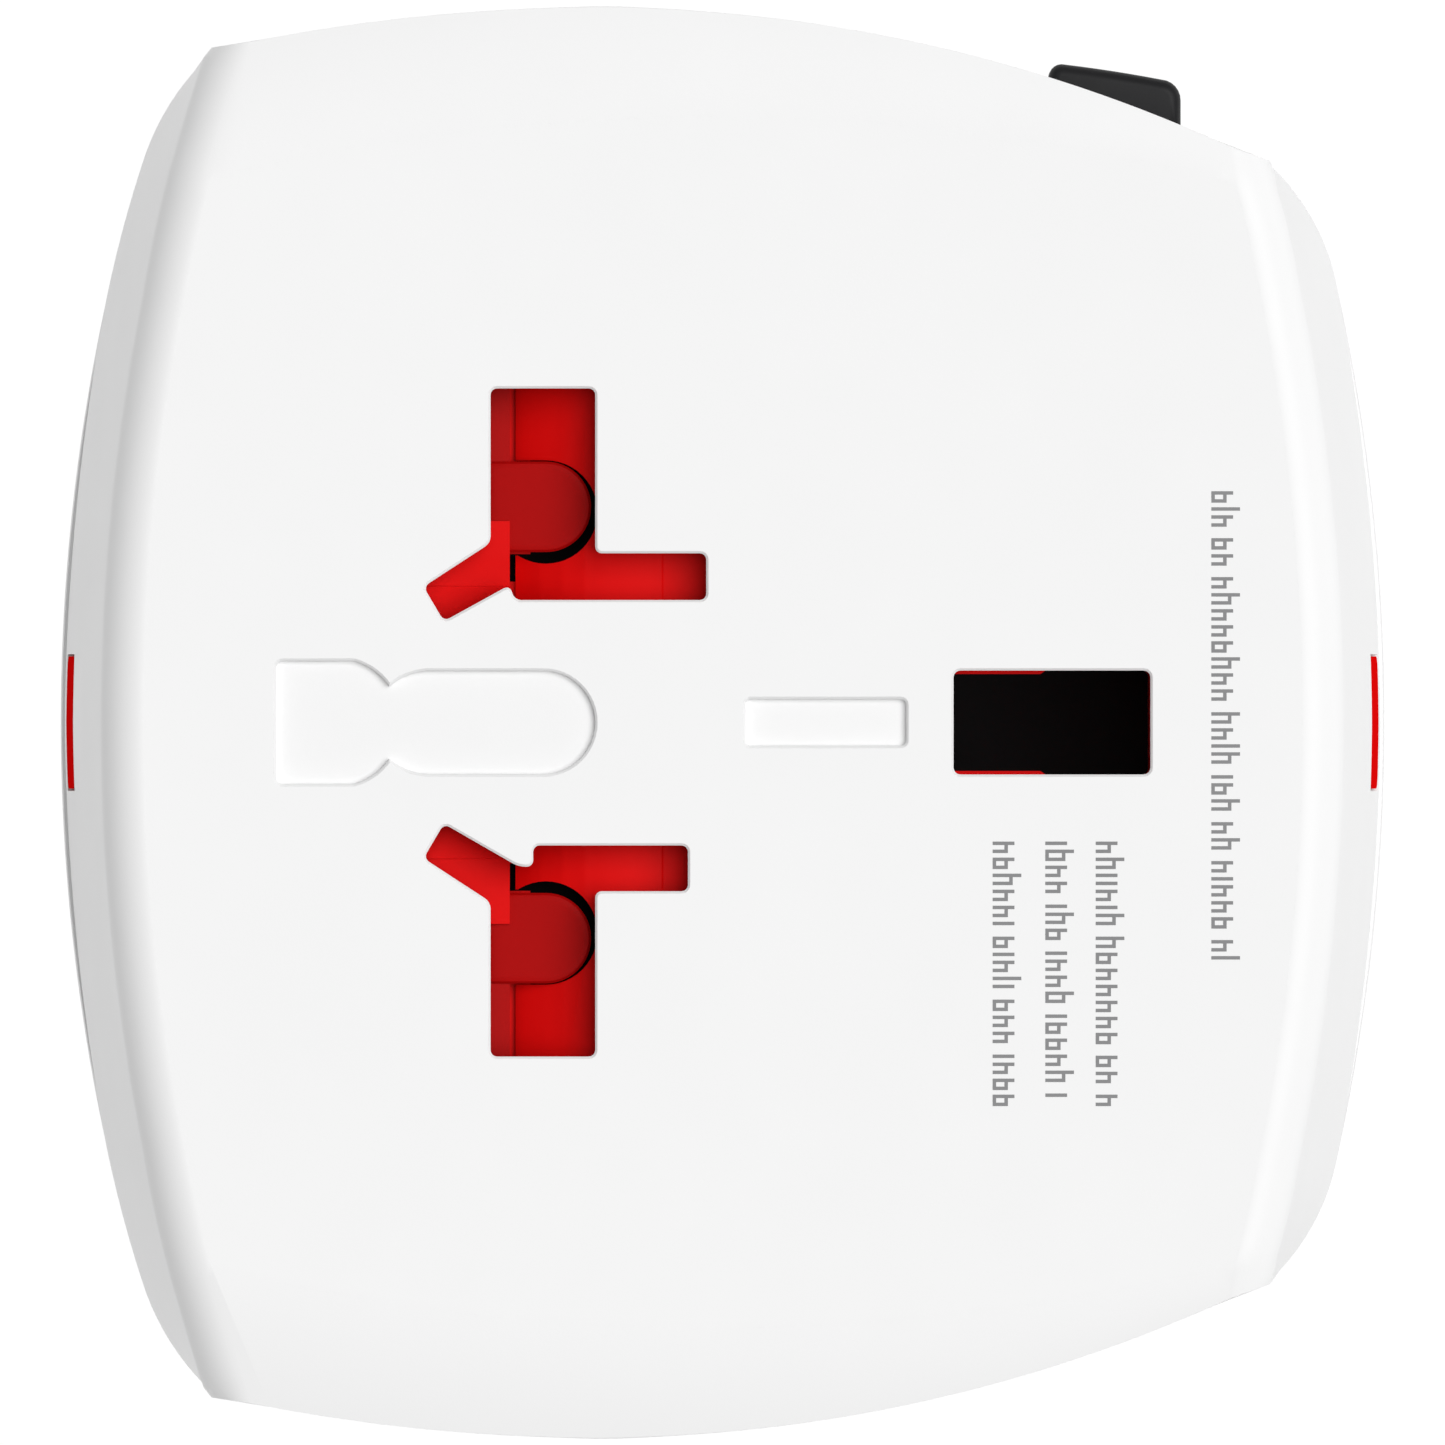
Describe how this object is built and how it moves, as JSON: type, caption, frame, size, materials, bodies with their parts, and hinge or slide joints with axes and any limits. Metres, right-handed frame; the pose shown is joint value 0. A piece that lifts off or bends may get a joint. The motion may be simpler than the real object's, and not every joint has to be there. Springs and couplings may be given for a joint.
{
  "type": "universal travel adapter",
  "caption": "Palm-sized two-pole travel adapter: multi-standard socket face with sprung shutters, one side selector, and British, Euro and American/Australian pins that slide out behind.",
  "frame": {"origin": "centre of the flat rear face that the plug pins come out of", "axes": "+Z out of the socket face, +Y towards the end with the earth-pin hole, the selector knob on the -X side"},
  "size_m": [0.0626, 0.0578, 0.054],
  "materials": {
    "white_shell": "satin moulded",
    "red_plastic": "satin moulded",
    "black_plastic": "fine matt grain",
    "grey_plastic": "matt moulded",
    "brass": "stamped strip",
    "nickel": "satin nickel plate",
    "steel": "zinc plated",
    "ceramic": "glazed ceramic"
  },
  "bodies": {
    "housing": {"front_cover": "white_shell", "rear_housing": "white_shell", "inner_frame": "grey_plastic", "shutter_tray": "black_plastic", "earth_sleeve": "red_plastic", "accent_bar_top": "red_plastic", "accent_bar_bottom": "red_plastic", "fuse_body": "ceramic", "contact_left": "brass", "busbar_left": "brass", "fuse_cap_left": "nickel", "fuse_clip_left": "brass", "shutter_spring_upper_left": "steel", "shutter_spring_lower_left": "steel", "screw_top_left": "steel", "screw_bottom_left": "steel", "contact_right": "brass", "busbar_right": "brass", "fuse_cap_right": "nickel", "fuse_clip_right": "brass", "shutter_spring_upper_right": "steel", "shutter_spring_lower_right": "steel", "screw_top_right": "steel", "screw_bottom_right": "steel"},
    "carriage": {"selector_carriage": "grey_plastic"},
    "selector": {"selector_knob": "black_plastic"},
    "uk_module": {"uk_carrier": "grey_plastic", "uk_earth_pin": "black_plastic", "uk_pin_left": "nickel", "uk_pin_sleeve_left": "black_plastic", "uk_pin_right": "nickel", "uk_pin_sleeve_right": "black_plastic"},
    "us_au_module": {"us_au_carrier": "grey_plastic"},
    "us_au_left": {"us_au_blade_left": "nickel"},
    "us_au_right": {"us_au_blade_right": "nickel"},
    "euro_module": {"euro_carrier": "grey_plastic", "euro_pin_left": "nickel", "euro_pin_sleeve_left": "black_plastic", "euro_pin_right": "nickel", "euro_pin_sleeve_right": "black_plastic"},
    "upper_shutter": {"shutter_upper": "red_plastic"},
    "lower_shutter": {"shutter_lower": "red_plastic"}
  },
  "joints": [
    {"name": "carriage_travel", "type": "slide", "parent": "housing", "child": "carriage", "axis": [0, 0, -1], "range_m": [0, 0.023]},
    {"name": "selector_shift", "type": "slide", "parent": "carriage", "child": "selector", "axis": [0, -1, 0], "range_m": [0, 0.034]},
    {"name": "uk_pins_travel", "type": "slide", "parent": "housing", "child": "uk_module", "axis": [0, 0, -1], "range_m": [0, 0.023]},
    {"name": "us_au_blades_travel", "type": "slide", "parent": "housing", "child": "us_au_module", "axis": [0, 0, -1], "range_m": [0, 0.018]},
    {"name": "us_au_twist_right", "type": "hinge", "parent": "us_au_module", "child": "us_au_right", "pos_m": [0.00635, 0.003, 0.0224], "axis": [0, 0, 1], "range_deg": [0, 30]},
    {"name": "us_au_twist_left", "type": "hinge", "parent": "us_au_module", "child": "us_au_left", "pos_m": [-0.00635, 0.003, 0.0224], "axis": [0, 0, -1], "range_deg": [0, 30]},
    {"name": "euro_pins_travel", "type": "slide", "parent": "housing", "child": "euro_module", "axis": [0, 0, -1], "range_m": [0, 0.0195]},
    {"name": "upper_shutter_travel", "type": "slide", "parent": "housing", "child": "upper_shutter", "axis": [0, 1, 0], "range_m": [0, 0.0082], "stiffness_N_per_m": 60, "springref_m": -0.002, "deforming": ["shutter_spring_upper_left", "shutter_spring_upper_right"]},
    {"name": "lower_shutter_travel", "type": "slide", "parent": "housing", "child": "lower_shutter", "axis": [0, -1, 0], "range_m": [0, 0.0041], "stiffness_N_per_m": 60, "springref_m": -0.002, "deforming": ["shutter_spring_lower_left", "shutter_spring_lower_right"]}
  ],
  "couplings": [
    {"joint": "carriage_travel", "follows": "uk_pins_travel", "ratio": 1},
    {"joint": "us_au_twist_left", "follows": "us_au_twist_right", "ratio": 1},
    {"joint": "lower_shutter_travel", "follows": "upper_shutter_travel", "ratio": 0.5}
  ]
}
